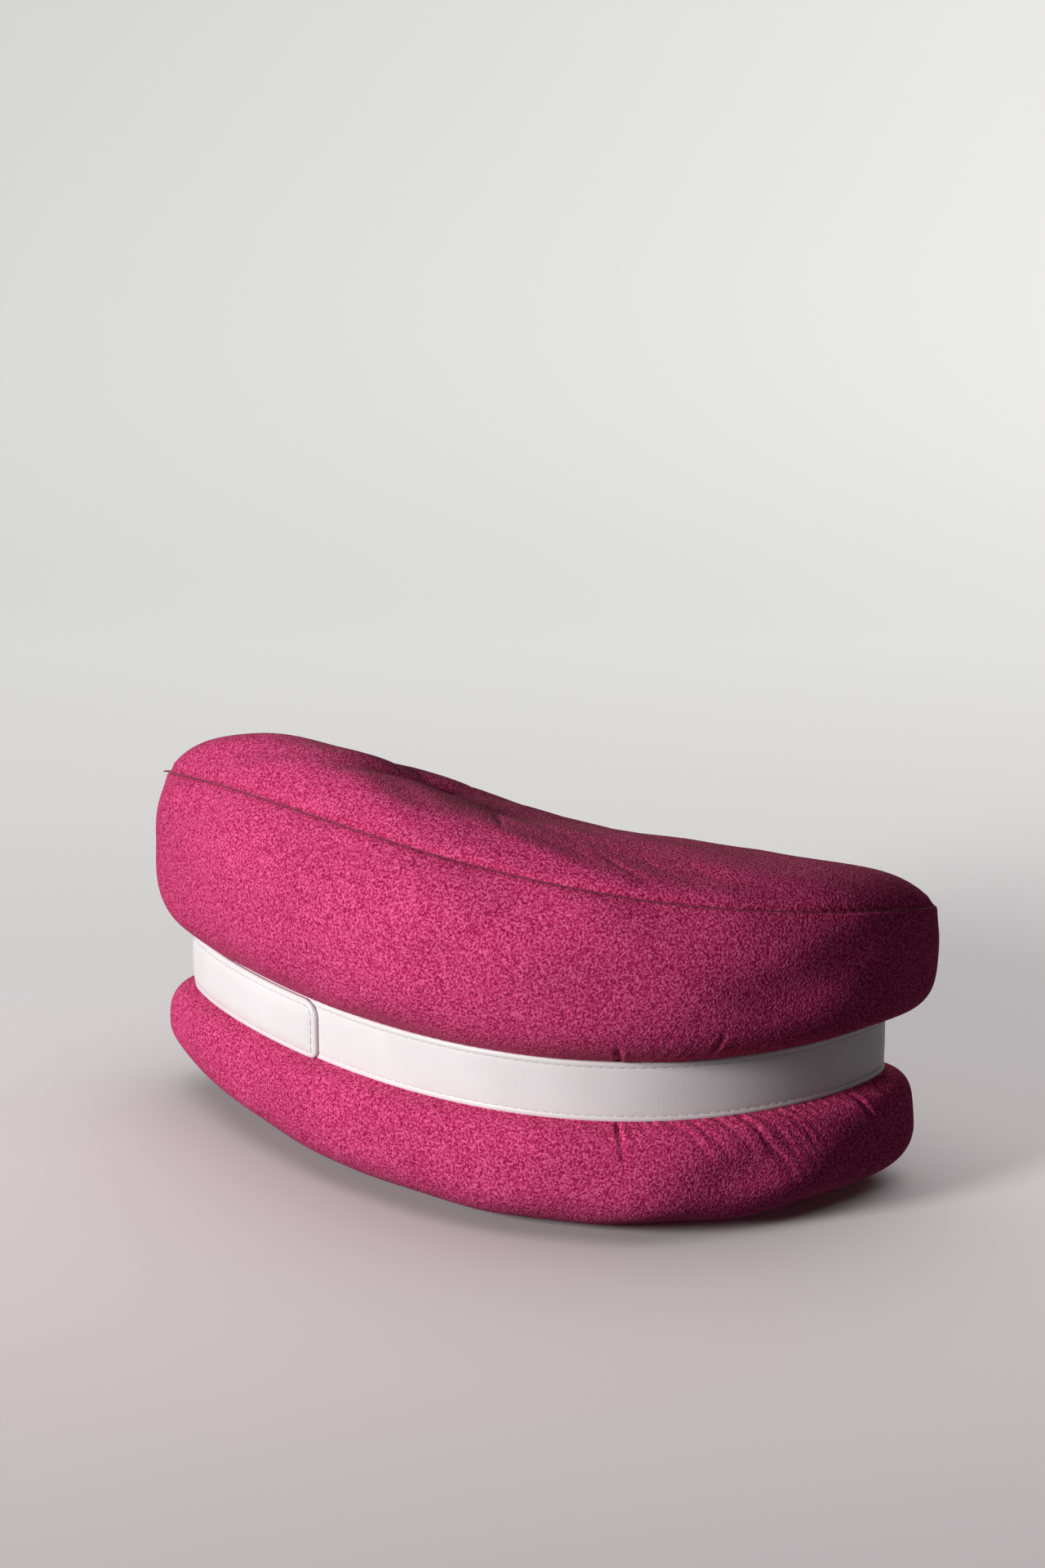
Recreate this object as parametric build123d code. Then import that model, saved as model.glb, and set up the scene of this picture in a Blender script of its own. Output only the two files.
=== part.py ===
from build123d import *
import math
import os

# Pull buoy: two foam lobes in a sewn textile cover, cinched at the waist by a strap.
# Millimetres. +X along the length towards the lower end, +Y to the straight rear,
# +Z up. The origin is on the floor, under the middle of the bounding box.

# Waist outline, at the strap's outer face: a deep front arc and a nearly straight rear
half_length = 118.0
front_depth = 72.0
front_lean = 0.33
front_power = 1.4
rear_depth = 13.0
rear_power = 0.4
half_depth = (front_depth + rear_depth) / 2
middle_x = -2.0
centre_y = -1.4
middle_y = half_depth - rear_depth + centre_y

# Heights
strap_width = 19.0
groove_width = 19.4
groove_low = 36.0
groove_high = groove_low + groove_width
waist_middle = groove_low + groove_width / 2

# Upper lobe: wall height along the length, bulge of the wall, crown of the top panel
upper_height = 58.5
height_terms = (-0.315, 0.171, 0.176)
rear_drop = 28.4
upper_bulge_front = 14.2
upper_bulge_right = 15.8
upper_bulge_left = 12.6
widest_at = 0.612
upper_bulge_power = 4.9
shoulder_inset_front = 13.8
shoulder_inset_end = 0.0
crown = 16.1
crown_terms = (-0.142, -0.239)
crown_power = 3.0
pole_y = -1.2
front_roll = 7.6

# Lower lobe: a rocker with a flat patch in the middle
lower_bulge = 10.2
lower_bulge_power = 2.7
underside_inset = 24.5
underside_power = 2.2
left_rise = 9.6
right_rise = 2.0
left_rise_from = 0.05
right_rise_from = 0.5
floor_press = 0.5

# Fabric, foam and strap
fabric = 1.2
foam_gap = 0.3
waist_face = -2.0
backing = 0.8
band = 1.0
band_outer = 0.0
strap_low = groove_low + (groove_width - strap_width) / 2
strap_high = strap_low + strap_width
stitch_inset = 1.9
thread = 0.5

# Closing flap at the left end, with its hook and loop patches
flap_root = 182.0
flap_tip = 246.0
flap_margin = 0.4
flap_skin = 0.8
flap_lining = 0.5
patch = 0.5
root_gap = 0.5
flap_gap = 2 * patch + 0.4
flap_ramp = 0.14
corner_radius = 4.0
patch_height = 14.0

# Rear zip on the upper lobe
zip_start = -62.0
zip_end = 42.0
stop_length = 2.4
zip_height = groove_high + 16.0
tape_height = 14.0
tape_thickness = 0.5
tape_gap = 0.4
coil_height = 4.0
coil_thickness = 1.2
slider_length = 9.0
slider_height = 8.0
slider_plate = 0.9
slider_clearance = 0.35
slider_start = -53.0
pull_length = 15.0
pull_height = 5.0
pull_thickness = 0.8

ring_points = 36
wall_steps = 15
dome_steps = 9


def outline(t):
    """Point of the waist outline; t runs anticlockwise from the right end."""
    c, s = math.cos(t), math.sin(t)
    if s < 0:
        y = -front_depth * (1 + front_lean * c) * abs(s) ** front_power
    else:
        y = rear_depth * s ** rear_power
    return half_length * c + middle_x, y + middle_y


def outline_normal(t):
    step = 0.02
    x0, y0 = outline(t - step)
    x1, y1 = outline(t + step)
    size = math.hypot(x1 - x0, y1 - y0)
    return (y1 - y0) / size, -(x1 - x0) / size


def place(t, out):
    """Plan position at a distance outside the waist outline (inside, the outline shrinks)."""
    x, y = outline(t)
    if out >= 0:
        nx, ny = outline_normal(t)
        return x + nx * out, y + ny * out
    x_scale = 1 + out / half_length
    y_scale = 1 + out / half_depth
    return middle_x + (x - middle_x) * x_scale, centre_y + (y - centre_y) * y_scale


def along(x):
    return (x - middle_x) / half_length


def wall_rise(x):
    """Height of the front wall over the groove, at a place along the length."""
    u = along(x)
    a, b, c = height_terms
    return upper_height * (1 + a * u + b * u ** 2 + c * u ** 3)


def floor_line(x):
    """Height of the rocker's underside, a little under the floor where it is flat."""
    u = along(x)
    left = left_rise * (max(0.0, left_rise_from - u) / (1 + left_rise_from)) ** 2
    right = right_rise * (max(0.0, u - right_rise_from) / (1 - right_rise_from)) ** 2
    return left + right - floor_press


def side_mix(t, front, left, right):
    nx = outline_normal(t)[0]
    end = right if nx > 0 else left
    return front * (1 - nx ** 2) + end * nx ** 2


def upper_rise(t):
    """Height of the upper wall over the groove; the rear is lower than the front."""
    x, y = outline(t)
    return wall_rise(x) - rear_drop * (y - centre_y + half_depth) / (2 * half_depth)


def upper_out(t, s):
    """How far the upper wall stands out, at a share s of its height."""
    bulge = side_mix(t, upper_bulge_front, upper_bulge_left, upper_bulge_right)
    inset = side_mix(t, shoulder_inset_front, shoulder_inset_end, shoulder_inset_end)
    if s < widest_at:
        fill = 1 - ((widest_at - s) / widest_at) ** upper_bulge_power
        return waist_face + (bulge - waist_face) * fill
    return bulge - inset * ((s - widest_at) / (1 - widest_at)) ** 2


def upper_section(t):
    """Section of the upper wall, from the groove up to the seam, as (out, z)."""
    section = []
    for step in range(wall_steps + 1):
        s = (step / wall_steps) ** 1.3
        section.append((upper_out(t, s), groove_high + upper_rise(t) * s))
    return section


def lower_section(t):
    """Section of the lower wall, from the groove down to the underside, as (out, z)."""
    section = []
    for step in range(wall_steps + 1):
        s = step / wall_steps
        side = abs(2 * s - 1)
        if s < 0.5:
            out = waist_face + (lower_bulge - waist_face) * (1 - side ** lower_bulge_power)
        else:
            out = lower_bulge - (lower_bulge + underside_inset) * side ** underside_power
        x = place(t, out)[0]
        depth = groove_low - floor_line(x)
        section.append((out, groove_low - depth * (1 - math.cos(math.pi * s)) / 2))
    return section


def inset_section(section, inset, end_drop):
    """The same section moved inwards by the fabric's thickness."""
    last = len(section) - 1
    moved = []
    for i, (out, z) in enumerate(section):
        before = section[max(0, i - 1)]
        after = section[min(last, i + 1)]
        run, climb = after[0] - before[0], after[1] - before[1]
        size = math.hypot(run, climb)
        turn = 1 if end_drop > 0 else -1
        normal = (turn * climb / size, -turn * run / size)
        if i == 0:
            normal = (1.0, 0.0)
        if i == last:
            normal = (1.0, end_drop)
        moved.append((out - inset * normal[0], z - inset * normal[1]))
    return moved


def angles():
    return [2 * math.pi * i / ring_points for i in range(ring_points)]


def rings_of(sections):
    """Turn one section per angle into one ring of points per station."""
    rings = []
    for station in range(len(sections[0])):
        ring = []
        for t, section in zip(angles(), sections):
            out, z = section[station]
            ring.append((*place(t, out), z))
        rings.append(ring)
    return rings


def dome_rings(rim, top, power, roll):
    """Rings from a rim towards one pole; top gives the middle line and roll the extra front fullness."""
    rings = []
    for step in range(dome_steps):
        q = (step / dome_steps) ** 1.5
        ring = []
        for t, (x, y, z) in zip(angles(), rim):
            px, py = middle_x + (x - middle_x) * (1 - q), pole_y + (y - pole_y) * (1 - q)
            share = 1 - (1 - q) ** power
            fullness = roll * max(0.0, -outline_normal(t)[1]) * 6.75 * q * (1 - q) ** 2
            ring.append((px, py, z + (top(px) - z) * share + fullness))
        rings.append(ring)
    return rings


def wire(ring):
    return Wire([Edge.make_spline([Vector(*p) for p in ring], periodic=True)])


def skin(rings, pole=None):
    """Faces through the rings, straight from one ring to the next."""
    sections = [wire(ring) for ring in rings]
    if pole is not None:
        sections.append(Vertex(*pole))
    return Shell.make_loft(sections, ruled=True).faces()


def closed_solid(*groups):
    faces = [face for group in groups for face in group]
    solid = Solid(Shell(faces))
    return solid if solid.volume > 0 else -solid


def ring_solid(corners):
    """A closed band round the waist; corners are the (out, z) of its section."""
    rings = [[(*place(t, out), z) for t in angles()] for out, z in corners]
    sides = [skin([rings[i - 1], rings[i]]) for i in range(len(rings))]
    return closed_solid(*sides)


def band_solid(inner, outer, low, high):
    return ring_solid([(inner, low), (outer, low), (outer, high), (inner, high)])


def top_line(drop):
    def height(x):
        u = along(x)
        a, b = crown_terms
        share = 1 + a * u + b * u ** 2
        return groove_high + wall_rise(x) + crown * share - rear_drop / 2 - drop
    return height


def under_line(lift):
    def height(x):
        return floor_line(x) + lift
    return height


def pole_point(top):
    return (middle_x, pole_y, top(middle_x))


def cap_faces(rim, top, power, roll):
    return skin(dome_rings(rim, top, power, roll), pole=pole_point(top))


def wall_rings(section_of, inset, end_drop):
    sections = [section_of(t) for t in angles()]
    if inset:
        sections = [inset_section(section, inset, end_drop) for section in sections]
    return rings_of(sections)


def wall_solid(outer, inner):
    return closed_solid(skin(outer), skin(inner), skin([outer[0], inner[0]]),
                        skin([outer[-1], inner[-1]]))


def cap_solid(outer_rim, inner_rim, outer_top, inner_top, power, roll):
    return closed_solid(cap_faces(outer_rim, outer_top, power, roll),
                        cap_faces(inner_rim, inner_top, power, roll),
                        skin([outer_rim, inner_rim]))


def float_solid(rings, top, power, roll):
    """A foam lobe: flat at the waist's middle, then neck, wall and crowned end."""
    neck_ring = [(x, y, waist_middle) for x, y, _ in rings[0]]
    base = Face(wire(neck_ring))
    return closed_solid([base], skin([neck_ring, rings[0]]), skin(rings),
                        cap_faces(rings[-1], top, power, roll))


def above_floor(solid):
    slab = Pos(0, 0, -50) * Box(600, 400, 100)
    return (solid - slab).solid()


def lobes():
    foam_inset = fabric + foam_gap
    upper_outer = wall_rings(upper_section, 0, 0.7)
    upper_inner = wall_rings(upper_section, fabric, 0.7)
    upper_foam = wall_rings(upper_section, foam_inset, 0.7)
    lower_outer = wall_rings(lower_section, 0, -1.0)
    lower_inner = wall_rings(lower_section, fabric, -1.0)
    lower_foam = wall_rings(lower_section, foam_inset, -1.0)
    seam = upper_outer[-1]
    made = {
        "upper_side_wall": wall_solid(upper_outer, upper_inner),
        "top_panel": cap_solid(seam, upper_inner[-1], top_line(0), top_line(fabric), crown_power, front_roll),
        "upper_float": float_solid(upper_foam, top_line(foam_inset), crown_power, front_roll),
        "lower_side_wall": above_floor(wall_solid(lower_outer, lower_inner)),
        "bottom_panel": above_floor(cap_solid(lower_outer[-1], lower_inner[-1], under_line(0),
                                              under_line(fabric), 1, 0)),
        "lower_float": float_solid(lower_foam, under_line(foam_inset), 1, 0),
        "waist_panel": band_solid(waist_face - fabric, waist_face, groove_low, groove_high),
    }
    made["top_seam"] = seam_thread(seam, 0.05)
    return made


def seam_thread(rim, gap):
    """A fine cord just outside a seam."""
    rings = []
    for out, up in ((gap, 0), (gap + thread, 0), (gap + thread, thread), (gap, thread)):
        ring = []
        for t, (x, y, z) in zip(angles(), rim):
            nx, ny = outline_normal(t)
            ring.append((x + nx * out, y + ny * out, z + up))
        rings.append(ring)
    return closed_solid(*[skin([rings[i - 1], rings[i]]) for i in range(4)])


def strap():
    low_line = strap_low + stitch_inset
    high_line = strap_high - stitch_inset
    hidden = waist_face - fabric - foam_gap + 0.05
    return {
        "strap_backing": band_solid(-band - backing, -band, strap_low, strap_high),
        "strap_band": band_solid(-band, band_outer, strap_low, strap_high),
        "strap_stitch_lower": band_solid(band_outer, 0.15, low_line, low_line + thread),
        "strap_stitch_upper": band_solid(band_outer, 0.15, high_line - thread, high_line),
        "lower_waist_seam": band_solid(hidden, hidden + 0.2, groove_low + 0.4, groove_low + 1.0),
        "upper_waist_seam": band_solid(hidden, hidden + 0.2, groove_high - 1.0, groove_high - 0.4),
    }


def flap_lift(share):
    """Gap between strap and flap: small at the root, then room for the patches."""
    rise = min(1.0, share / flap_ramp)
    return root_gap + (flap_gap - root_gap) * rise * rise * (3 - 2 * rise)


def arc_solid(start, end, inner, outer, low, high, steps=10):
    """A curved strip along part of the flap; inner and outer are added to the flap's lift."""
    sections = []
    for i in range(steps + 1):
        share = start + (end - start) * i / steps
        t = math.radians(flap_root + (flap_tip - flap_root) * share)
        lift = flap_lift(share)
        x0, y0 = place(t, lift + inner)
        x1, y1 = place(t, lift + outer)
        corners = [(x0, y0, low), (x1, y1, low), (x1, y1, high), (x0, y0, high)]
        sections.append(Wire.make_polygon([Vector(*c) for c in corners], close=True))
    return Solid.make_loft(sections)


def flap_corner_cutters():
    """What rounds the two corners of the flap's free end."""
    t = math.radians(flap_tip)
    x, y = place(t, flap_gap)
    nx, ny = outline_normal(t)
    low, high = strap_low + flap_margin, strap_high - flap_margin
    cutters = []
    for edge, up in ((low, 1), (high, -1)):
        # local x runs along the flap away from its tip, local z out of the strap
        plane = Plane(origin=(x, y, edge), x_dir=(ny, -nx, 0), z_dir=(nx, ny, 0))
        side = up * (1 if plane.y_dir.Z > 0 else -1)
        corner = Pos(0, 0) * Rectangle(2 * corner_radius, 2 * corner_radius)
        round_part = Pos(corner_radius, side * corner_radius) * Circle(corner_radius)
        keep = Pos(corner_radius, side * corner_radius) * Rectangle(2 * corner_radius, 2 * corner_radius)
        cutters.append(extrude(plane * ((corner & keep) - round_part), amount=8, both=True))
    return cutters


def flap():
    low, high = strap_low + flap_margin, strap_high - flap_margin
    skin_out = flap_lining + flap_skin
    middle = (strap_low + strap_high) / 2
    lining = arc_solid(0, 1, 0, flap_lining, low, high)
    cover = arc_solid(0, 1, flap_lining, skin_out, low, high)
    for cutter in flap_corner_cutters():
        lining = lining - cutter
        cover = cover - cutter
    line_low = low + stitch_inset - flap_margin
    line_high = high - stitch_inset + flap_margin
    stitches = [
        arc_solid(0.02, 0.95, skin_out + 0.08, skin_out + 0.23, line_low, line_low + thread),
        arc_solid(0.02, 0.95, skin_out + 0.08, skin_out + 0.23, line_high - thread, line_high),
        arc_solid(0.955, 0.965, skin_out + 0.08, skin_out + 0.23, line_low, line_high, steps=1),
    ]
    patch_low, patch_high = middle - patch_height / 2, middle + patch_height / 2
    return {
        "flap_lining": lining.solid(),
        "flap_cover": cover.solid(),
        "flap_stitching": stitches,
        "flap_hook_patch": arc_solid(0.3, 0.92, -patch - 0.03, -0.03, patch_low, patch_high),
        "strap_loop_patch": loop_patch(patch_low, patch_high),
    }


def loop_patch(low, high):
    """The soft patch on the strap itself, under the flap."""
    sections = []
    for i in range(11):
        share = 0.25 + 0.7 * i / 10
        t = math.radians(flap_root + (flap_tip - flap_root) * share)
        x0, y0 = place(t, band_outer + 0.02)
        x1, y1 = place(t, band_outer + patch)
        corners = [(x0, y0, low), (x1, y1, low), (x1, y1, high), (x0, y0, high)]
        sections.append(Wire.make_polygon([Vector(*c) for c in corners], close=True))
    return Solid.make_loft(sections)


def rear_face(x, z):
    """Depth of the rear of the upper wall, at a place along the length and a height."""
    t = math.acos(along(x))
    s = (z - groove_high) / upper_rise(t)
    return outline(t)[1] + upper_out(t, s)


def rear_layer(inner, outer, start, end, low, high):
    """A strip that follows the rear of the upper wall between two distances outside it."""
    sections = []
    steps = 12
    levels = [low + (high - low) * i / 4 for i in range(5)]
    for i in range(steps + 1):
        x = start + (end - start) * i / steps
        corners = [(x, rear_face(x, z) + inner, z) for z in levels]
        corners += [(x, rear_face(x, z) + outer, z) for z in reversed(levels)]
        sections.append(Wire.make_polygon([Vector(*c) for c in corners], close=True))
    return Solid.make_loft(sections)


def zip_parts():
    low, high = zip_height - tape_height / 2, zip_height + tape_height / 2
    coil_start, coil_end = zip_start + stop_length, zip_end - stop_length
    coil_low, coil_high = zip_height - coil_height / 2, zip_height + coil_height / 2
    coil_in = tape_gap + tape_thickness
    coil_out = coil_in + coil_thickness
    face = rear_face(middle_x, zip_height)
    stops = []
    for x in (zip_start + stop_length / 2, zip_end - stop_length / 2):
        y = rear_face(x, zip_height) + coil_in + coil_thickness / 2 + 0.25
        stops.append(Pos(x, y, zip_height) * Box(stop_length - 0.4, coil_thickness, coil_height + 1))
    plate_low = face + coil_out + slider_clearance
    plate_y = plate_low + slider_plate / 2
    slider = Pos(slider_start, plate_y, zip_height) * Box(slider_length, slider_plate, slider_height)
    slider = fillet(slider.edges().filter_by(Axis.Y), 2.0)
    flange_drop = coil_thickness
    for side in (-1, 1):
        z = zip_height + side * (slider_height / 2 - 0.5)
        flange = Box(slider_length - 3, flange_drop, 1.0)
        slider = slider + Pos(slider_start, plate_low - flange_drop / 2, z) * flange
    arch_low = plate_low + slider_plate
    arch = Pos(slider_start, arch_low + 1.0, zip_height) * Box(5.0, 2.0, 1.6)
    window = Pos(slider_start, arch_low + 0.7, zip_height) * Box(3.2, 1.4, 1.6)
    slider = slider + (arch - window)
    pin_y = arch_low + 0.7
    pin = Cylinder(0.4, pull_height)
    pull = Pos(slider_start, pin_y, zip_height) * pin
    tab_x = slider_start + pull_length / 2
    tab = Pos(tab_x, pin_y, zip_height) * Box(pull_length, pull_thickness, pull_height)
    tab = fillet(tab.edges().filter_by(Axis.Y).group_by(Axis.X)[-1], 2.0)
    eye = Pos(slider_start + 1.2, pin_y, zip_height) * Box(5.6, 2, 2.4)
    pull = (tab - eye) + pull
    print("slider hinge", slider_start / 1000, pin_y / 1000, zip_height / 1000)
    return {
        "zip_tape": rear_layer(tape_gap, coil_in, zip_start, zip_end, low, high),
        "zip_coil": rear_layer(coil_in, coil_out, coil_start, coil_end, coil_low, coil_high),
        "zip_stops": stops,
        "zip_slider": slider.solid(),
        "zip_pull": pull.solid(),
    }


os.makedirs("parts", exist_ok=True)
nodes = {**lobes(), **strap(), **flap(), **zip_parts()}
for name, shape in nodes.items():
    solids = shape if isinstance(shape, list) else [shape]
    export_step(Compound(children=solids) if len(solids) > 1 else solids[0], f"parts/{name}.step")
whole = Compound([s for shape in nodes.values() for s in (shape if isinstance(shape, list) else [shape])])
box = whole.bounding_box()
print("box", box.min, box.max)
hinge = place(math.radians(flap_root), root_gap + (flap_lining + flap_skin) / 2)
print("flap hinge", hinge[0] / 1000, hinge[1] / 1000)
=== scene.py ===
import math

import bmesh
import bpy
import numpy as np
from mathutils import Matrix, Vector


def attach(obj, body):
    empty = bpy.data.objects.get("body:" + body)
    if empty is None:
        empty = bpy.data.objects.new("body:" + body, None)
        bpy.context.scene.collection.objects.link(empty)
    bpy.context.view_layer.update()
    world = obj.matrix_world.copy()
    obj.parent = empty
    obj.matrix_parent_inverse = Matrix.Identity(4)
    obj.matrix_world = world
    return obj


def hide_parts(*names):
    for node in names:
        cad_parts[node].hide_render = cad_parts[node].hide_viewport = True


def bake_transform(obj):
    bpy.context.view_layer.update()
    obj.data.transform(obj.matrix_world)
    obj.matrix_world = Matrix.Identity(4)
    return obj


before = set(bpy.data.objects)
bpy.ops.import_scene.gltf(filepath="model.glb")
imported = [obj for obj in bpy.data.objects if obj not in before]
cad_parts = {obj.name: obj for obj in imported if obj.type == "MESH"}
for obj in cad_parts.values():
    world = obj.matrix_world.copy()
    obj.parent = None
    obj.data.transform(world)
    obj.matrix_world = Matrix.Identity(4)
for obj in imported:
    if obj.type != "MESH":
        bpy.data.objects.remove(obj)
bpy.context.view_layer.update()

MM = 0.001

# ---------------------------------------------------------------- driving sizes, millimetres
half_length = 118.0
front_depth = 72.0
front_lean = 0.33
front_power = 1.4
rear_depth = 13.0
rear_power = 0.4
half_depth = (front_depth + rear_depth) / 2
middle_x = -2.0
centre_y = -1.4
middle_y = half_depth - rear_depth + centre_y

groove_low = 36.0
groove_high = 55.4
strap_low = 36.2
strap_high = 55.2

upper_height = 58.5
height_terms = (-0.315, 0.171, 0.176)
rear_drop = 28.4
upper_bulge = (14.2, 12.6, 15.8)
widest_at = 0.612
upper_power = 4.9
shoulder_inset = (13.8, 2.6, 0.6)
crown = 16.1
crown_terms = (-0.142, -0.239)
crown_power = 3.0
pole_y = -1.2
front_roll = 7.6
end_roll = 3.2

lower_bulge = 10.2
lower_power = 2.7
underside_inset = 24.5
underside_power = 2.2
left_rise = 9.6
right_rise = 2.0
left_rise_from = 0.05
right_rise_from = 0.5

fabric = 1.2
cover_start = -1.6
cover_tuck = 0.8
foam_inset = 4.5
floor_gap = 0.02

zip_left, zip_right, zip_level = -62.0, 42.0, 71.4

around = 720  # points round the outline
camera_yaw = math.radians(22.033)
camera_pitch = math.radians(15.778)


def unit(vectors):
    return vectors / np.linalg.norm(vectors, axis=1, keepdims=True)


# ---------------------------------------------------------------- the waist outline
def raw_outline(t):
    """The waist's plan: a bowed front and a flatter rear, as points at angles t."""
    c, s = np.cos(t), np.sin(t)
    front = -front_depth * (1 + front_lean * c) * np.abs(s) ** front_power
    rear = rear_depth * np.abs(s) ** rear_power
    return np.stack([half_length * c + middle_x, np.where(s < 0, front, rear) + middle_y], -1)


def ring_smooth(values, sigma):
    """Gaussian smoothing of values round a closed ring; sigma in steps."""
    reach = int(4 * sigma) + 1
    out = np.zeros_like(values)
    total = 0.0
    for k in range(-reach, reach + 1):
        weight = math.exp(-0.5 * (k / sigma) ** 2)
        out += weight * np.roll(values, k, axis=0)
        total += weight
    return out / total


class Outline:
    """The waist outline as evenly spaced points, with normals and arc lengths."""

    def __init__(self, count, soften=3.5):
        dense = np.linspace(0, 2 * math.pi, 7200, endpoint=False)  # a twentieth of a degree apart
        points = raw_outline(dense)
        steps = np.linalg.norm(np.roll(points, -1, 0) - points, axis=1)
        length = np.concatenate([[0], np.cumsum(steps)])
        self.perimeter = length[-1]
        self.arc = np.arange(count) * self.perimeter / count
        self.angle = np.interp(self.arc, length[:-1], dense)
        self.points = ring_smooth(raw_outline(self.angle), soften * count / self.perimeter)
        self.tangent = unit(np.roll(self.points, -1, 0) - np.roll(self.points, 1, 0))
        self.normal = np.stack([self.tangent[:, 1], -self.tangent[:, 0]], -1)
        self.dense_angle, self.dense_arc = dense, length[:-1]

    def arc_at(self, degrees):
        """Arc length at an angle of the outline's formula."""
        return float(np.interp(math.radians(degrees % 360), self.dense_angle, self.dense_arc))

    def place(self, out):
        """Plan positions at a distance outside the outline; inside, the outline shrinks."""
        outside = self.points + self.normal * out[:, None]
        scale = np.stack([1 + out / half_length, 1 + out / half_depth], -1)
        centre = np.array([middle_x, centre_y])
        inside = centre + (self.points - centre) * scale
        return np.where(out[:, None] >= 0, outside, inside)

    def at(self, arc):
        """Point, tangent and normal at any arc length."""
        grid = np.concatenate([self.arc, [self.perimeter]])
        found = []
        for field in (self.points, self.tangent, self.normal):
            loop = np.concatenate([field, field[:1]])
            found.append(np.stack([np.interp(arc % self.perimeter, grid, loop[:, k]) for k in (0, 1)], -1))
        return found


def along(x):
    """Place along the body, from -1 at its left end to 1 at its right end."""
    return (x - middle_x) / half_length


def wall_rise(x):
    """Height of the upper wall at the front, from the waist to the seam."""
    u = along(x)
    a, b, c = height_terms
    return upper_height * (1 + a * u + b * u ** 2 + c * u ** 3)


def crest(x):
    """Height of the line that runs lengthwise over the middle of the top."""
    u = along(x)
    a, b = crown_terms
    return groove_high + wall_rise(x) + crown * (1 + a * u + b * u ** 2) - rear_drop / 2


def floor_line(x):
    """How far the base curves up towards each end."""
    u = along(x)
    left = left_rise * (np.maximum(0, left_rise_from - u) / (1 + left_rise_from)) ** 2
    right = right_rise * (np.maximum(0, u - right_rise_from) / (1 - right_rise_from)) ** 2
    return left + right


def side_mix(line, values):
    """Blend values for the front (and rear), left end and right end by the way the outline faces."""
    front, left, right = values
    nx = line.normal[:, 0]
    return front * (1 - nx ** 2) + np.where(nx > 0, right, left) * nx ** 2


# ---------------------------------------------------------------- the two lobes as grids of points
def upper_wall_grid(line, stations, inset=0.0):
    """Rows of points up the upper wall, from the waist to the seam."""
    x, y = line.points.T
    rise = wall_rise(x) - rear_drop * (y - centre_y + half_depth) / (2 * half_depth)
    bulge, shoulder = side_mix(line, upper_bulge), side_mix(line, shoulder_inset)
    rows = []
    for s in stations:
        if s < widest_at:
            fill = 1 - ((widest_at - s) / widest_at) ** upper_power
            out = cover_start + (bulge - cover_start) * fill
        else:
            out = bulge - shoulder * ((s - widest_at) / (1 - widest_at)) ** 2
        z = groove_high - cover_tuck + (rise + cover_tuck) * s
        rows.append(np.column_stack([line.place(out - inset), z - inset * 0.7 * s]))
    return np.array(rows)


def towards_pole(rim, share):
    """A rim's x and y, drawn in towards the pole by a share."""
    return (middle_x + (rim[:, 0] - middle_x) * (1 - share),
            pole_y + (rim[:, 1] - pole_y) * (1 - share))


def dome_grid(line, rim, stations, drop=0.0):
    """Rows of points over the top panel, from the seam in towards the pole."""
    front_scale, end_scale, end_power = 6.75, 23.1, 8  # the scales bring each roll's peak to 1
    rows = []
    facing = np.maximum(0, -line.normal[:, 1])
    ends = end_roll * line.normal[:, 0] ** 2
    for q in stations:
        x, y = towards_pole(rim, q)
        share = 1 - (1 - q) ** crown_power
        roll = (front_roll * facing * front_scale * q * (1 - q) ** 2
                + ends * end_scale * q * (1 - q) ** end_power)
        rows.append(np.column_stack([x, y, rim[:, 2] + (crest(x) - drop - rim[:, 2]) * share + roll]))
    return np.array(rows)


def lower_wall_grid(line, stations, inset=0.0):
    """Rows of points down the lower wall, from the waist to the edge of the base."""
    rows = []
    for s in stations:
        side = abs(2 * s - 1)
        if s < 0.5:
            out = cover_start + (lower_bulge - cover_start) * (1 - side ** lower_power)
        else:
            out = lower_bulge - (lower_bulge + underside_inset) * side ** underside_power
        plan = line.place(np.full(len(line.arc), out - inset))
        low = floor_line(plan[:, 0]) + inset
        top = groove_low + cover_tuck - inset * min(1.0, 4 * s)
        z = top - (top - low) * (1 - math.cos(math.pi * s)) / 2
        rows.append(np.column_stack([plan, z]))
    return np.array(rows)


def bottom_grid(rim, stations):
    """Rows of points over the base, from its edge in towards the pole."""
    rows = []
    for q in stations:
        x, y = towards_pole(rim, q)
        rows.append(np.column_stack([x, y, floor_line(x)]))
    return np.array(rows)


def grid_normals(grid):
    """Outward normals of a grid whose rows run round the object."""
    round_way = np.roll(grid, -1, 1) - np.roll(grid, 1, 1)
    up_way = np.gradient(grid, axis=0)
    normal = np.cross(round_way, up_way)
    size = np.linalg.norm(normal, axis=2, keepdims=True)
    return normal / np.maximum(size, 1e-9)


# ---------------------------------------------------------------- mesh helpers
def mesh_object(name, points, faces):
    """A smooth-shaded mesh in the scene; points are in millimetres."""
    mesh = bpy.data.meshes.new(name)
    mesh.from_pydata([tuple(p) for p in np.asarray(points) * MM], [], faces)
    mesh.validate()
    mesh.polygons.foreach_set("use_smooth", [True] * len(mesh.polygons))
    piece = bpy.data.objects.new(name, mesh)
    bpy.context.scene.collection.objects.link(piece)
    return piece


def turned(faces, flip):
    return [face[::-1] for face in faces] if flip else faces


def grid_faces(rows, count, start=0, flip=False):
    """Quads between neighbouring rows of points, each row a closed ring."""
    faces = []
    for i in range(rows - 1):
        for j in range(count):
            a, b = start + i * count + j, start + i * count + (j + 1) % count
            faces.append((a, b, b + count, a + count))
    return turned(faces, flip)


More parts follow.
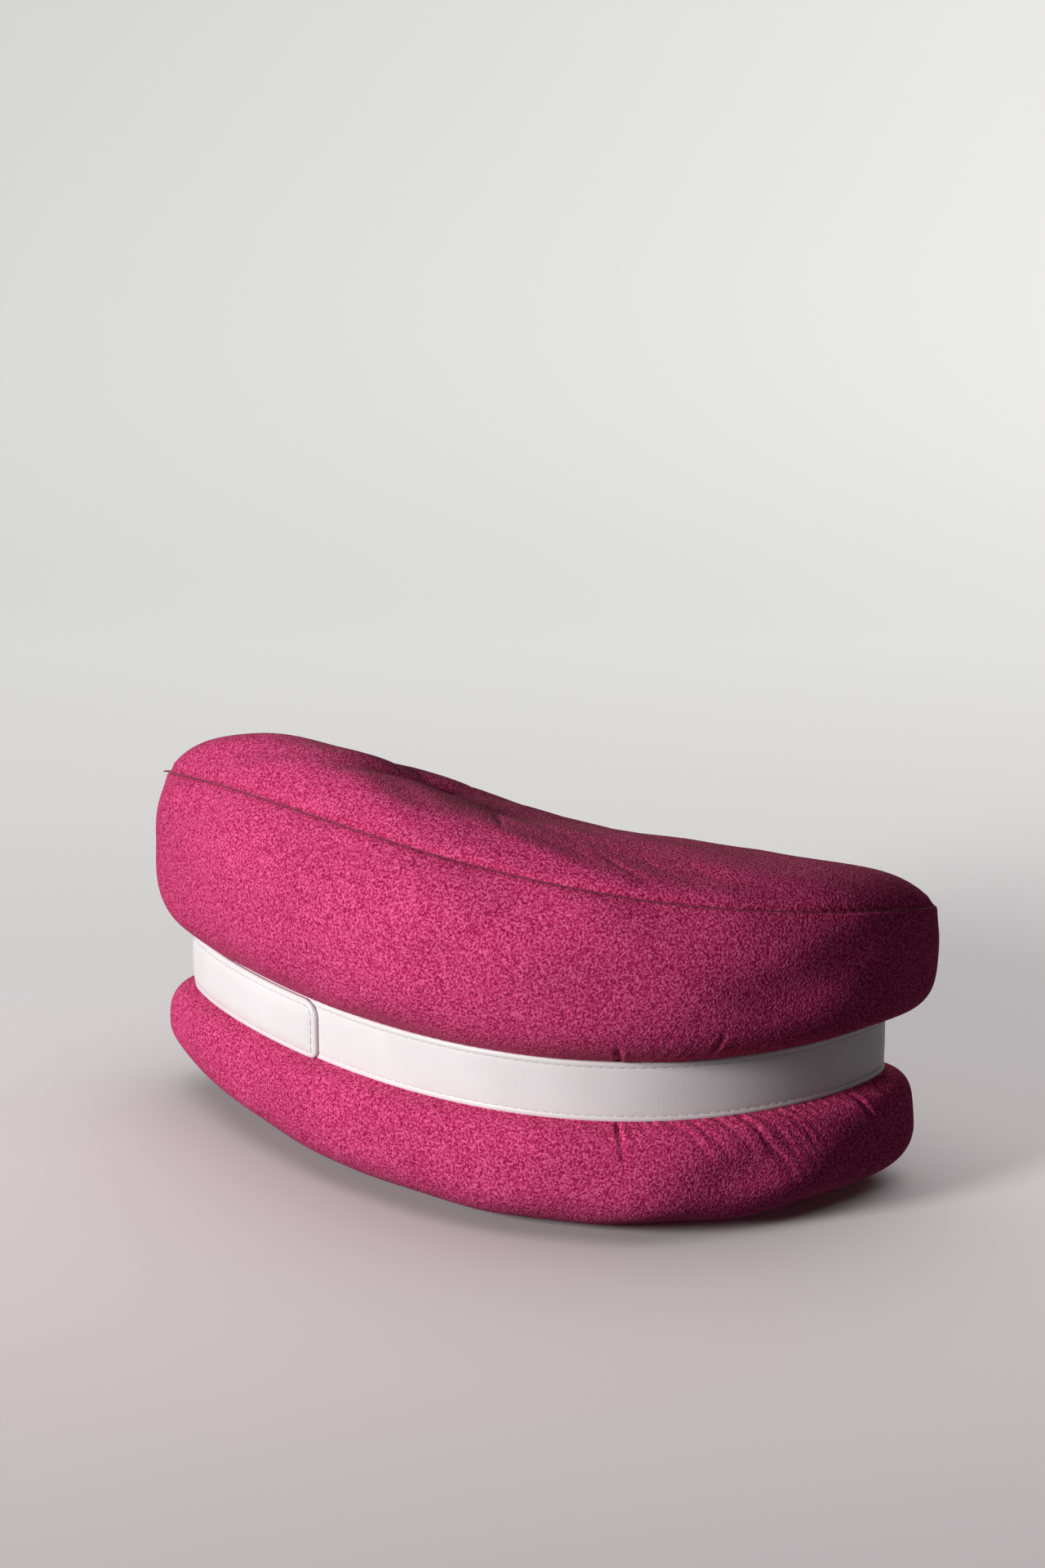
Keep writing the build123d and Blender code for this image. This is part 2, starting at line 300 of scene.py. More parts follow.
def shell_object(name, grid, pole=None, flip=False):
    """A closed thin shell: the grid's outer face, and an inner face the fabric's thickness inside it."""
    rows, count, _ = grid.shape
    size, last = rows * count, (rows - 1) * count
    normals = grid_normals(grid) * (-1 if flip else 1)
    points = [grid.reshape(-1, 3), (grid - normals * fabric).reshape(-1, 3)]
    faces = grid_faces(rows, count) + grid_faces(rows, count, size, True)
    for j in range(count):
        k = (j + 1) % count
        faces.append((j, size + j, size + k, k))
        if pole is None:
            faces.append((last + j, last + k, size + last + k, size + last + j))
    if pole is not None:
        tip = np.array(pole, float)
        points.append(np.array([tip, tip - np.array([0, 0, -fabric if flip else fabric])]))
        for j in range(count):
            a, b = last + j, last + (j + 1) % count
            faces += [(a, b, 2 * size), (size + b, size + a, 2 * size + 1)]
    return mesh_object(name, np.concatenate(points), turned(faces, flip))


def solid_object(name, grid, bottom, top, flip=False):
    """A closed solid from a grid with a pole at each end."""
    rows, count, _ = grid.shape
    size, last = rows * count, (rows - 1) * count
    faces = grid_faces(rows, count)
    for j in range(count):
        k = (j + 1) % count
        faces += [(k, j, size), (last + j, last + k, size + 1)]
    return mesh_object(name, np.concatenate([grid.reshape(-1, 3), [bottom, top]]), turned(faces, flip))


def face_outwards(piece, merge=0.0):
    """Merge points closer than a distance in metres, and turn every face outwards."""
    bm = bmesh.new()
    bm.from_mesh(piece.data)
    if merge:
        bmesh.ops.remove_doubles(bm, verts=bm.verts, dist=merge)
    bmesh.ops.recalc_face_normals(bm, faces=bm.faces)
    bm.to_mesh(piece.data)
    bm.free()
    piece.data.polygons.foreach_set("use_smooth", [True] * len(piece.data.polygons))
    return piece


# ---------------------------------------------------------------- soft relief of the cover
def wave_noise(line, heights, seed, size=45.0, waves=78):
    """Smooth seeded noise over arc length and height, repeating round the outline."""
    random = np.random.default_rng(seed)
    arc = line.arc[None, :] / line.perimeter * 2 * math.pi
    field = np.zeros((len(heights), len(line.arc)))
    base = line.perimeter / size
    for _ in range(waves):
        turns = max(1, int(round(base * random.uniform(0.4, 1.3))))
        rate = random.normal(0, 1 / size)
        phase = random.uniform(0, 2 * math.pi)
        field += np.cos(turns * arc + rate * heights[:, None] * 2 * math.pi + phase)
    return field / math.sqrt(waves / 2)


def crease_field(line, heights, crease):
    """A dent along a short path on the cover, with a soft lip beside it."""
    path, depth, width = crease
    points = [(line.arc_at(angle), height) for angle, height in path]
    arc, half_turn = line.arc[None, :], line.perimeter / 2
    best = np.full((len(heights), len(line.arc)), 1e9)
    side = np.zeros_like(best)
    share = np.zeros_like(best)
    total = len(points) - 1
    for k in range(total):
        (a0, h0), (a1, h1) = points[k], points[k + 1]
        da = (arc - a0 + half_turn) % line.perimeter - half_turn
        dh = heights[:, None] - h0
        ua, uh = a1 - a0, h1 - h0
        s = np.clip((da * ua + dh * uh) / (ua * ua + uh * uh), 0, 1)
        near = np.hypot(da - s * ua, dh - s * uh)
        closer = near < best
        best = np.where(closer, near, best)
        side = np.where(closer, np.sign(da * uh - dh * ua), side)
        share = np.where(closer, (k + s) / total, share)
    fade = np.clip(np.sin(np.pi * np.clip(share * 0.88 + 0.12, 0, 1)), 0, 1) ** 0.7
    dent = -np.exp(-(best / width) ** 2)
    lip = 0.22 * np.exp(-((best - 2.1 * width) / (1.3 * width)) ** 2)
    return depth * fade * (dent + lip * (1 + 0.4 * side))


# ---------------------------------------------------------------- materials
def darker(tone, share):
    return tuple(v * share for v in tone)


class Look:
    """A procedural material on the Principled shader, and the nodes that feed it."""

    def __init__(self, name):
        self.material = bpy.data.materials.new(name)
        self.material.use_nodes = True
        self.nodes, self.links = self.material.node_tree.nodes, self.material.node_tree.links
        self.shader = self.nodes["Principled BSDF"]
        self.where = self.nodes.new("ShaderNodeTexCoord").outputs["Object"]

    def feed(self, node, values):
        """Set sockets, by name or number, to constants, or link outputs to them."""
        for socket, value in values.items():
            if isinstance(value, (int, float, tuple)):
                node.inputs[socket].default_value = value
            else:
                self.links.new(value, node.inputs[socket])
        return node

    def noise(self, scale, detail=3.0, rough=0.5, distortion=0.0):
        node = self.nodes.new("ShaderNodeTexNoise")
        self.feed(node, {"Vector": self.where, "Scale": scale, "Detail": detail, "Roughness": rough,
                         "Distortion": distortion})
        return node.outputs["Fac"]

    def cells(self, scale):
        node = self.nodes.new("ShaderNodeTexVoronoi")
        return self.feed(node, {"Vector": self.where, "Scale": scale}).outputs["Distance"]

    def bands(self, scale, direction):
        node = self.nodes.new("ShaderNodeTexWave")
        node.bands_direction = direction
        return self.feed(node, {"Vector": self.where, "Scale": scale}).outputs["Fac"]

    def ramp(self, value, *stops):
        node = self.feed(self.nodes.new("ShaderNodeValToRGB"), {"Fac": value})
        elements = node.color_ramp.elements
        while len(elements) < len(stops):
            elements.new(0.5)
        for element, (place, colour) in zip(elements, stops):
            element.position = place
            element.color = (*colour, 1)
        return node.outputs["Color"]

    def multiplied(self, first, second):
        node = self.nodes.new("ShaderNodeMix")
        node.data_type = "RGBA"
        node.blend_type = "MULTIPLY"
        factor, colour_a, colour_b, colour_out = 0, 6, 7, 2
        return self.feed(node, {factor: 1.0, colour_a: first, colour_b: second}).outputs[colour_out]

    def maths(self, operation, first, second):
        node = self.nodes.new("ShaderNodeMath")
        node.operation = operation
        return self.feed(node, {0: first, 1: second}).outputs[0]

    def distance(self, axis, offset):
        """Distance along an axis in metres, moved by an offset."""
        node = self.nodes.new("ShaderNodeVectorMath")
        node.operation = "DOT_PRODUCT"
        return self.maths("ADD", self.feed(node, {0: self.where, 1: axis}).outputs["Value"], offset)

    def bump(self, height, strength, distance):
        node = self.nodes.new("ShaderNodeBump")
        self.feed(node, {"Height": height, "Strength": strength, "Distance": distance})
        self.feed(self.shader, {"Normal": node.outputs["Normal"]})

    def shaded(self, values):
        """Feed the shader and give the finished material."""
        self.feed(self.shader, values)
        return self.material


def fleece_material():
    """Short, curly pile: fine speckles of lit loop tops and dark gaps."""
    look = Look("raspberry_fleece")
    loops, clumps, cloud = look.noise(1450.0, 1.0), look.noise(420.0, 2.0), look.noise(22.0, 2.0)
    pile = look.maths("ADD", look.maths("MULTIPLY", loops, 0.9), look.maths("MULTIPLY", clumps, 0.1))
    colour = look.ramp(pile, (0.35, (0.31, 0.009, 0.062)), (0.5, (0.61, 0.042, 0.165)),
                       (0.66, (0.88, 0.145, 0.33)))
    shade = look.ramp(cloud, (0.3, (0.86, 0.84, 0.85)), (0.7, (1.0, 1.0, 1.0)))
    look.bump(pile, 0.6, 0.0007)
    return look.shaded({"Base Color": look.multiplied(colour, shade), "Roughness": 0.95,
                        "Specular IOR Level": 0.08, "Sheen Weight": 0.03, "Sheen Roughness": 0.5,
                        "Sheen Tint": (1.0, 0.72, 0.82, 1)})


def coated_material():
    """White leatherette: satin, with a very fine grain and faint handling marks."""
    look = Look("white_coated_strap")
    tone = (0.83, 0.81, 0.83)
    marks = look.noise(60.0)
    look.bump(look.cells(1500.0), 0.12, 0.0002)
    return look.shaded({"Base Color": look.ramp(marks, (0.35, darker(tone, 0.955)), (0.65, tone)),
                        "Roughness": look.ramp(marks, (0.3, (0.36,) * 3), (0.7, (0.46,) * 3)),
                        "Specular IOR Level": 0.45})


def thread_material(name, tone):
    """Twisted sewing thread."""
    look = Look(name)
    twist = look.bands(900.0, "DIAGONAL")
    look.bump(twist, 0.5, 0.0002)
    return look.shaded({"Base Color": look.ramp(twist, (0.2, darker(tone, 0.7)), (0.8, tone)),
                        "Roughness": 0.7, "Sheen Weight": 0.2})


def weave_material(name, tone, ribs_per_metre=1400.0):
    """Plain woven tape: crossing ribs."""
    look = Look(name)
    scale = ribs_per_metre / 6.28
    weave = look.maths("MULTIPLY", look.bands(scale, "X"), look.bands(scale, "Z"))
    colour = look.ramp(weave, (0.05, darker(tone, 0.62)), (0.6, tone))
    shade = look.ramp(look.noise(90.0), (0.3, (0.88,) * 3), (0.7, (1.0,) * 3))
    look.bump(weave, 0.6, 0.0003)
    return look.shaded({"Base Color": look.multiplied(colour, shade), "Roughness": 0.85,
                        "Sheen Weight": 0.15})


def brushed_loop_material():
    """The soft half of the closure: matted fine loops."""
    look = Look("brushed_loop_tape")
    fluff = look.noise(1300.0, 4.0, 0.7, 1.5)
    look.bump(fluff, 0.9, 0.0006)
    return look.shaded({"Base Color": look.ramp(fluff, (0.3, (0.5, 0.5, 0.51)), (0.65, (0.82, 0.81, 0.82))),
                        "Roughness": 0.95, "Sheen Weight": 0.6})


def moulded_material(name, tone):
    """Moulded nylon with slightly uneven gloss."""
    look = Look(name)
    fine = look.noise(500.0)
    look.bump(fine, 0.1, 0.0002)
    return look.shaded({"Base Color": look.ramp(fine, (0.35, darker(tone, 0.85)), (0.65, tone)),
                        "Roughness": look.ramp(fine, (0.3, (0.34,) * 3), (0.7, (0.48,) * 3))})


def enamel_material():
    """Enamelled zinc: glossy, worn to bare metal in small chips."""
    look = Look("enamelled_zinc")
    chips = look.noise(420.0, 4.0, 0.65)
    look.bump(chips, 0.08, 0.0002)
    colour = look.ramp(chips, (0.62, (0.42, 0.035, 0.12)), (0.7, (0.62, 0.60, 0.58)))
    return look.shaded({"Base Color": colour,
                        "Metallic": look.ramp(chips, (0.62, (0.0,) * 3), (0.7, (1.0,) * 3)),
                        "Roughness": 0.32})


def foam_material():
    """Closed-cell foam: pale, with fine cells."""
    look = Look("closed_cell_foam")
    cells = look.cells(900.0)
    look.bump(cells, 0.5, 0.0003)
    return look.shaded({"Base Color": look.ramp(cells, (0.0, (0.72, 0.72, 0.70)), (0.6, (0.87, 0.87, 0.85))),
                        "Roughness": 0.85})


def dress(piece, material, body="root", nodes=()):
    """Give a piece its material, the body it rides on and the CAD nodes it replaces."""
    piece.data.materials.clear()
    piece.data.materials.append(material)
    if body:
        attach(piece, body)
    if nodes:
        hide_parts(*nodes)
    return piece


fleece = fleece_material()
white_coat = coated_material()
cover_thread = thread_material("raspberry_thread", (0.27, 0.012, 0.06))
strap_thread = thread_material("white_thread", (0.80, 0.79, 0.80))
strap_lining = weave_material("white_backing", (0.74, 0.73, 0.74))
foam = foam_material()
zip_tape_cloth = weave_material("raspberry_zip_tape", (0.45, 0.04, 0.14), 2600.0)
zip_coil_plastic = moulded_material("raspberry_zip_coil", (0.40, 0.035, 0.12))
loop_tape = brushed_loop_material()
hook_tape = moulded_material("white_hook_tape", (0.78, 0.78, 0.78))
enamel = enamel_material()

# ---------------------------------------------------------------- cover
waist = Outline(around)


def dense_stations(count):
    """Stations from 0 to 1, closer together near both ends."""
    u = np.linspace(0, 1, count)
    ends = (1 - np.cos(math.pi * u)) / 2
    return ends * 0.55 + u * 0.45


def surface_heights(grid):
    """Mean distance from the first row, measured up the surface, for each row."""
    steps = np.linalg.norm(np.diff(grid, axis=0), axis=2).mean(1)

    return np.concatenate([[0], np.cumsum(steps)])


def seam_dip(distance, arc):
    """The two panels turn in at a seam; the stitches pull it unevenly."""
    stitch_pitch = 3.1
    pull = 1 + 0.1 * np.cos(arc / stitch_pitch * 2 * math.pi)
    return -(0.9 * np.exp(-(distance / 0.8) ** 2) + 0.18 * np.exp(-(distance / 3.0) ** 2)) * pull


def zone(line, start, end, soft=6.0):
    """1 between two angles of the outline and 0 outside, with soft ends."""
    a, b = line.arc_at(start), line.arc_at(end)
    rise = 1 / (1 + np.exp(-(line.arc - a) / soft * 4))
    return rise / (1 + np.exp((line.arc - b) / soft * 4))


def fine_pleats(line, heights, pitch, slant, reach, seed):
    """Narrow, nearly parallel gathers that leave the strap at a slant and die away."""
    random = np.random.default_rng(seed)
    drift = ring_smooth(random.normal(0, 1, len(line.arc)), 9) * 5.0
    length = reach * (0.75 + 2.0 * ring_smooth(random.uniform(-1, 1, len(line.arc)), 3))
    phase = 2 * math.pi * (line.arc[None, :] + drift[None, :] - slant * heights[:, None]) / pitch
    wave = np.cos(phase) + 0.35 * np.cos(2 * phase + 0.8)
    fall = np.exp(-(heights[:, None] / np.maximum(length, 2.0)[None, :]) ** 2)
    return wave * fall


# A crease: its path as (angle of the outline, distance from the strap), then its depth and half width.
upper_creases = [
    (((298.7, 0), (298.8, 6), (298.8, 18)), 1.0, 0.7),
    (((307.5, 2), (308.6, 7), (309.8, 14)), 0.4, 0.75),
    (((310.5, 1), (311.6, 7), (312.7, 15.8), (313.7, 22.6)), 0.5, 0.75),
    (((313.5, 1), (314.7, 7), (316.0, 16)), 0.5, 0.75),
    (((316.5, 1), (318, 7), (319.5, 14)), 0.45, 0.75),
    (((340, 26), (341, 38), (341.5, 50)), 0.15, 1.2),
    (((188, 0), (190, 8), (191, 15)), 0.3, 0.9),
    (((212, 0), (211, 7), (210, 12)), 0.2, 0.8),
]
lower_creases = [
    (((298.6, 0), (298.8, 5), (299.9, 17)), 1.15, 0.7),
    (((306, 1), (309.4, 8), (313.2, 18)), 0.4, 0.75),
    (((309.5, 1), (312.7, 9), (315.9, 18)), 0.45, 0.75),
    (((314, 1), (316.6, 8), (319.6, 18)), 0.45, 0.75),
    (((317.3, 0), (319.2, 4.8), (321.4, 13.9), (324.1, 20), (326.4, 28.6)), 0.5, 0.75),
    (((320.6, 1), (323, 8), (326.5, 20)), 0.4, 0.75),
    (((341, 4), (342.2, 12), (343.4, 20), (343.2, 28), (341.4, 37)), 0.85, 0.8),
    (((349, 3), (351, 14), (351, 24)), 0.4, 1.0),
    (((196, 1), (198, 9), (199, 16)), 0.3, 0.9),
]


def cover_relief(line, heights, creases, seed, pleat_zone):
    """Soft unevenness of the stuffed cover, with gathers and creases by the strap."""
    start, end, slant, reach = pleat_zone
    stuffed = 0.3 * wave_noise(line, heights, seed) * np.clip(heights[:, None] / 12, 0, 1)
    draw = 0.05 + 0.07 * zone(line, 20, 165) + 0.14 * zone(line, start, end)
    pleats = fine_pleats(line, heights, 3.9, slant, reach, seed + 1) * draw[None, :]
    relief = stuffed + pleats
    for crease in creases:
        relief = relief + crease_field(line, heights, crease)
    return relief


def puffed(grid, sewn_rows, fullness, cap=3.5, flip=False):
    """Blow the cover up as cloth between its sewn rows; gives each point's movement in millimetres."""
    rows, count, _ = grid.shape
    cloth = mesh_object("cloth_pattern", grid.reshape(-1, 3), grid_faces(rows, count, 0, flip))
    sewn = cloth.vertex_groups.new(name="sewn")
    for row in sewn_rows:
        sewn.add(list(range(row * count, (row + 1) * count)), 1.0, "REPLACE")
    full = cloth.vertex_groups.new(name="full")
    for row in range(rows):
        full.add(list(range(row * count, (row + 1) * count)), float(fullness[row]), "REPLACE")
    settings = cloth.modifiers.new("cloth", "CLOTH").settings
    settings.quality = 6
    settings.mass = 0.2
    settings.tension_stiffness = settings.compression_stiffness = 25
    settings.shear_stiffness = 8
    settings.bending_stiffness = 0.3
    settings.vertex_group_mass = "sewn"
    settings.pin_stiffness = 1.0
    settings.vertex_group_shrink = "full"
    settings.shrink_min, settings.shrink_max = 0.0, -0.07
    settings.use_pressure = True
    settings.uniform_pressure_force = 4.0
    settings.effector_weights.gravity = 0.0
    scene = bpy.context.scene
    settling_frames = 20
    for frame_number in range(1, settling_frames + 1):
        scene.frame_set(frame_number)
    result = cloth.evaluated_get(bpy.context.evaluated_depsgraph_get()).to_mesh()
    moved = np.empty(len(result.vertices) * 3)
    result.vertices.foreach_get("co", moved)
    moved = moved.reshape(grid.shape) / MM - grid
    cloth.to_mesh_clear()
    scene.frame_set(1)
    bpy.data.objects.remove(cloth)
    size = np.linalg.norm(moved, axis=2, keepdims=True)
    return moved * np.minimum(1.0, cap / np.maximum(size, 1e-9))


def between(field, coarse_stations, stations):
    """A field on a coarse grid of every second column, brought to the fine grid."""
    rows = []
    for s in stations:
        i = int(np.clip(np.searchsorted(coarse_stations, s) - 1, 0, len(coarse_stations) - 2))
        w = (s - coarse_stations[i]) / (coarse_stations[i + 1] - coarse_stations[i])
        rows.append(field[i] * (1 - w) + field[i + 1] * w)
    coarse = np.array(rows)
    fine = np.empty((len(stations), around, 3))
    fine[:, 0::2] = coarse
    fine[:, 1::2] = (coarse + np.roll(coarse, -1, 1)) / 2
    return fine


wall_stations = dense_stations(68)
dome_stations = 1 - (1 - np.linspace(0, 0.985, 60)) ** 1.25
lower_stations = dense_stations(60)
bottom_stations = np.linspace(0, 0.97, 16)

upper_wall = upper_wall_grid(waist, wall_stations)
seam_rim = upper_wall[-1].copy()
top_panel = dome_grid(waist, seam_rim, dome_stations)
lower_wall = lower_wall_grid(waist, lower_stations)

# The cover is blown up as cloth, sewn at the waist and at the seam, on every second column.
# Its spare cloth lies near the waist, and a little of it near the seam.
wall_rows, dome_rows, dome_reach = 26, 20, 0.96
coarse_wall, coarse_dome = np.linspace(0, 1, wall_rows), np.linspace(0, dome_reach, dome_rows)
wall_slack = np.exp(-coarse_wall / 0.16)
wall_pattern = upper_wall_grid(waist, coarse_wall)[:, ::2]
dome_pattern = dome_grid(waist, seam_rim, coarse_dome)[:, ::2]
pattern = np.concatenate([wall_pattern, dome_pattern[1:]])
slack = np.concatenate([wall_slack, 0.12 * np.exp(-coarse_dome[1:] / 0.2)])
puff = puffed(pattern, [0, wall_rows - 1, len(pattern) - 1], slack)
upper_puff = between(puff[:wall_rows], coarse_wall, wall_stations)
dome_puff = between(puff[wall_rows - 1:], coarse_dome, np.minimum(dome_stations, dome_reach))
dome_puff = dome_puff * np.clip((1 - dome_stations) * 2.2, 0, 1)[:, None, None]
lower_pattern = lower_wall_grid(waist, coarse_wall)[:, ::2]
lower_puff = between(puffed(lower_pattern, [0, wall_rows - 1], wall_slack, flip=True), coarse_wall,
                     lower_stations)

# The upper wall lies flat under the zip.
heights = surface_heights(upper_wall)
to_seam = heights[-1] - heights
relief = cover_relief(waist, heights, upper_creases, 21, (303, 326, 0.45, 10.0))
zip_flat = zone(waist, 55, 122)[None, :] * np.exp(-((upper_wall[..., 2] - zip_level) / 14) ** 4)
relief = relief * np.clip(to_seam / 5, 0, 1)[:, None] * (1 - zip_flat)
relief = relief + seam_dip(to_seam[:, None], waist.arc[None, :])
upper_puff = upper_puff * (1 - zip_flat[..., None])
upper_wall = upper_wall + upper_puff + grid_normals(upper_wall) * relief[..., None]

dome_heights = surface_heights(top_panel)
inner = np.clip(1 - dome_stations * 1.05, 0, 1)[:, None]
relief = 0.3 * wave_noise(waist, dome_heights, 31) * inner * np.clip(dome_heights / 6, 0, 1)[:, None]
relief = relief + seam_dip(dome_heights[:, None], waist.arc[None, :])
# A shallow fold runs over the top where the full front roll meets the flatter back.
fold_x, fold_y, fold_cos, fold_sin = -28, -2, 0.85, 0.52
fold_along = (top_panel[..., 0] - fold_x) * fold_cos + (top_panel[..., 1] - fold_y) * fold_sin
fold_across = (top_panel[..., 1] - fold_y) * fold_cos - (top_panel[..., 0] - fold_x) * fold_sin
relief = relief - 2.0 * np.exp(-(fold_across / 4.5) ** 2 - (fold_along / 18) ** 2)
relief = relief + 1.3 * np.exp(-((fold_across - 12) / 8) ** 2 - (fold_along / 30) ** 2)
top_panel = top_panel + dome_puff + grid_normals(top_panel) * relief[..., None]
top_panel[0] = upper_wall[-1]

heights = surface_heights(lower_wall)
relief = cover_relief(waist, heights, lower_creases, 41, (300, 338, 0.55, 14.0))
fade = np.clip((heights[-1] - heights) / 12, 0, 1)[:, None]
lower_wall = lower_wall + lower_puff * fade[..., None] - grid_normals(lower_wall) * (relief * fade)[..., None]
lower_wall[..., 2] = np.maximum(lower_wall[..., 2], floor_gap)

bottom_panel = bottom_grid(lower_wall[-1], bottom_stations)
bottom_panel[..., 2] = np.maximum(bottom_panel[..., 2], floor_gap)
bottom_panel[0] = lower_wall[-1]

pole_top = (middle_x, pole_y, float(crest(middle_x)))
pole_low = (middle_x, pole_y, floor_gap)
covers = {
    "upper_side_wall": shell_object("upper_wall_cover", upper_wall),
    "top_panel": shell_object("top_panel_cover", top_panel, pole_top),
    "lower_side_wall": shell_object("lower_wall_cover", lower_wall, flip=True),
    "bottom_panel": shell_object("bottom_panel_cover", bottom_panel, pole_low, flip=True),
}
for node, piece in covers.items():
    dress(piece, fleece, "root", [node])


def tube(name, path, outs, radius, rise=1.0, sides=8):
    """A closed loop of cord along a path; outs are its outward directions, rise its height to its width."""
    across = unit(np.cross(unit(np.roll(path, -1, 0) - np.roll(path, 1, 0)), outs))
    rows = [path + radius * (math.cos(a) * across + math.sin(a) * rise * outs)
            for a in np.arange(sides) * 2 * math.pi / sides]
    count = len(path)
    faces = []
    for i in range(sides):
        for j in range(count):
            k, n = (j + 1) % count, (i + 1) % sides
            faces.append((i * count + j, i * count + k, n * count + k, n * count + j))
    return face_outwards(mesh_object(name, np.concatenate(rows), faces))


seam_out = np.column_stack([waist.normal * 0.8, np.full(around, 0.6)])
seam_path = upper_wall[-1] + seam_out * 0.1
dress(tube("top_seam_thread", seam_path, seam_out, 0.18), cover_thread, "root", ["top_seam"])

# ---------------------------------------------------------------- foam inside
upper_core = upper_wall_grid(waist, np.linspace(0, 1, 18), foam_inset)
upper_dome = dome_grid(waist, upper_core[-1], np.linspace(0.1, 0.95, 8), foam_inset)
upper_foam = solid_object("upper_foam_core", np.concatenate([upper_core, upper_dome]),
                          (middle_x, pole_y, groove_high), (middle_x, pole_y, pole_top[2] - foam_inset))
lower_core = lower_wall_grid(waist, np.linspace(0, 1, 18), foam_inset)
lower_foam = solid_object("lower_foam_core", lower_core, (middle_x, pole_y, groove_low),
                          (middle_x, pole_y, foam_inset), flip=True)
dress(upper_foam, foam, "root", ["upper_float"])
dress(lower_foam, foam, "root", ["lower_float"])


# ---------------------------------------------------------------- strap
def outline_point(arc, out, z):
    """Place at an arc length, a distance outside the waist outline and a height."""
    arc, out, z = np.broadcast_arrays(np.asarray(arc, float), out, z)
    point, _, normal = waist.at(arc.ravel())
    plan = point + normal * out.ravel()[:, None]
    return np.column_stack([plan, z.ravel()]).reshape(arc.shape + (3,))


def in_space(plan):
    """Plan vectors as level vectors in space."""
    return np.column_stack([plan, np.zeros(len(plan))])


# Half of the band's outer face, from its edge to its middle: (out, distance from the edge).
band_half = [(-1.0, 0.16), (-0.85, 0.03), (-0.5, 0.0), (-0.15, 0.05), (0.1, 0.2), (0.27, 0.5),
             (0.34, 0.95), (0.27, 1.4), (0.13, 1.74), (0.03, 1.9), (0.07, 2.05), (0.11, 2.3), (0.15, 3.0),
             (0.17, 4.5), (0.19, 7.0)]
stitch_inset = 1.9


def strap_band():
    """The coated band, with a stitched groove near each edge."""
    lower = [(out, strap_low + d) for out, d in band_half]
    upper = [(out, strap_high - d) for out, d in reversed(band_half)]
    section = lower + upper
    rows = [np.column_stack([waist.place(np.full(around, out)), np.full(around, z)]) for out, z in section]
    faces = grid_faces(len(section), around)
    last = (len(section) - 1) * around
    faces += [(last + j, last + (j + 1) % around, (j + 1) % around, j) for j in range(around)]
    return mesh_object("strap_band_piece", np.concatenate(rows), faces)


def capsules(name, centres, along_way, out_way, length, radius, bow=0.0):
    """Many short rounded threads: each lies along its direction and bows outwards in the middle."""
    sides = 8
    rings = [(-0.5, 0.35), (-0.44, 0.8), (-0.25, 1.0), (0.0, 1.0), (0.25, 1.0), (0.44, 0.8), (0.5, 0.35)]
    across = np.cross(out_way, along_way)
    points, faces = [], []
    for c, a, o, w in zip(centres, along_way, out_way, across):
        base = len(points)
        for place, width in rings:
            middle = c + a * place * length + o * bow * (1 - 4 * place * place)
            for k in range(sides):
                turn = 2 * math.pi * k / sides
                points.append(middle + radius * width * (math.cos(turn) * w + math.sin(turn) * o))
        for i in range(len(rings) - 1):
            for k in range(sides):
                p, q = base + i * sides + k, base + i * sides + (k + 1) % sides
                faces.append((p, q, q + sides, p + sides))
        end = base + (len(rings) - 1) * sides
        faces.append(tuple(base + k for k in reversed(range(sides))))
        faces.append(tuple(end + k for k in range(sides)))
    return mesh_object(name, np.array(points), faces)


def band_stitches(name, z):
    count = int(waist.perimeter / 3.2)
    arc = np.arange(count) * waist.perimeter / count
    _, tangent, normal = waist.at(arc)
    return capsules(name, outline_point(arc, 0.03, z), in_space(tangent), in_space(normal), 2.6, 0.16, 0.03)


# The seam's thread is finished with a short loose end at the left tip.
left_way = -np.array([math.cos(camera_yaw), math.sin(camera_yaw), 0.0])
tip = np.argmax(seam_path @ left_way)
dress(capsules("seam_thread_end", seam_path[tip:tip + 1] + left_way * 0.9, left_way[None],
               np.array([[0.0, 0.0, 1.0]]), 2.8, 0.3),
      cover_thread, "root")

dress(strap_band(), white_coat, "root", ["strap_band"])
for name, z in (("strap_stitch_lower", strap_low + stitch_inset),
                ("strap_stitch_upper", strap_high - stitch_inset)):
    dress(band_stitches(name + "_piece", z), strap_thread, "root", [name])

# ---------------------------------------------------------------- closing flap
root_length = 2.5
flap_start, flap_end = waist.arc_at(182) - root_length, waist.arc_at(246)
flap_low, flap_high = strap_low + 0.1, strap_high + 0.1
flap_length, flap_width = flap_end - flap_start, flap_high - flap_low
flap_thickness, patch_gap = 1.3, 1.4
flap_radii = (2.6, 5.6, 0.8, 0.8)


def flap_lift(u):
    """Height of the flap's inner face over the strap, at a distance from its root."""
    rise = np.clip((u - 1.0) / 11.0, 0, 1)
    tip = np.clip((u - flap_length + 7.0) / 7.0, 0, 1)
    return -0.2 + (patch_gap + 0.2) * rise * rise * (3 - 2 * rise) - 0.4 * tip * tip


def rounded_loop(length, width, inset, radii):
    """A loop inset in a rounded rectangle, as (along, height); radii run from the low right corner."""
    left, right, low, high = inset, length - inset, inset, width - inset
    corners = [(right, low, -90), (right, high, 0), (left, high, 90), (left, low, 180)]
    arcs = []
    for (x, y, turn), radius in zip(corners, radii):
        r = max(radius - inset, 0.02)
        cx = x - r if x == right else x + r
        cy = y - r if y == high else y + r
        a = np.radians(turn + np.linspace(0, 90, 8))
        arcs.append(np.column_stack([cx + r * np.cos(a), cy + r * np.sin(a)]))
    loop = []
    for k, corner in enumerate(arcs):
        following = arcs[(k + 1) % 4][0]
        steps = 46 if k % 2 else 8
        side = corner[-1] + (following - corner[-1]) * (np.arange(1, steps) / steps)[:, None]
        loop += [corner, side]
    return np.vstack(loop)


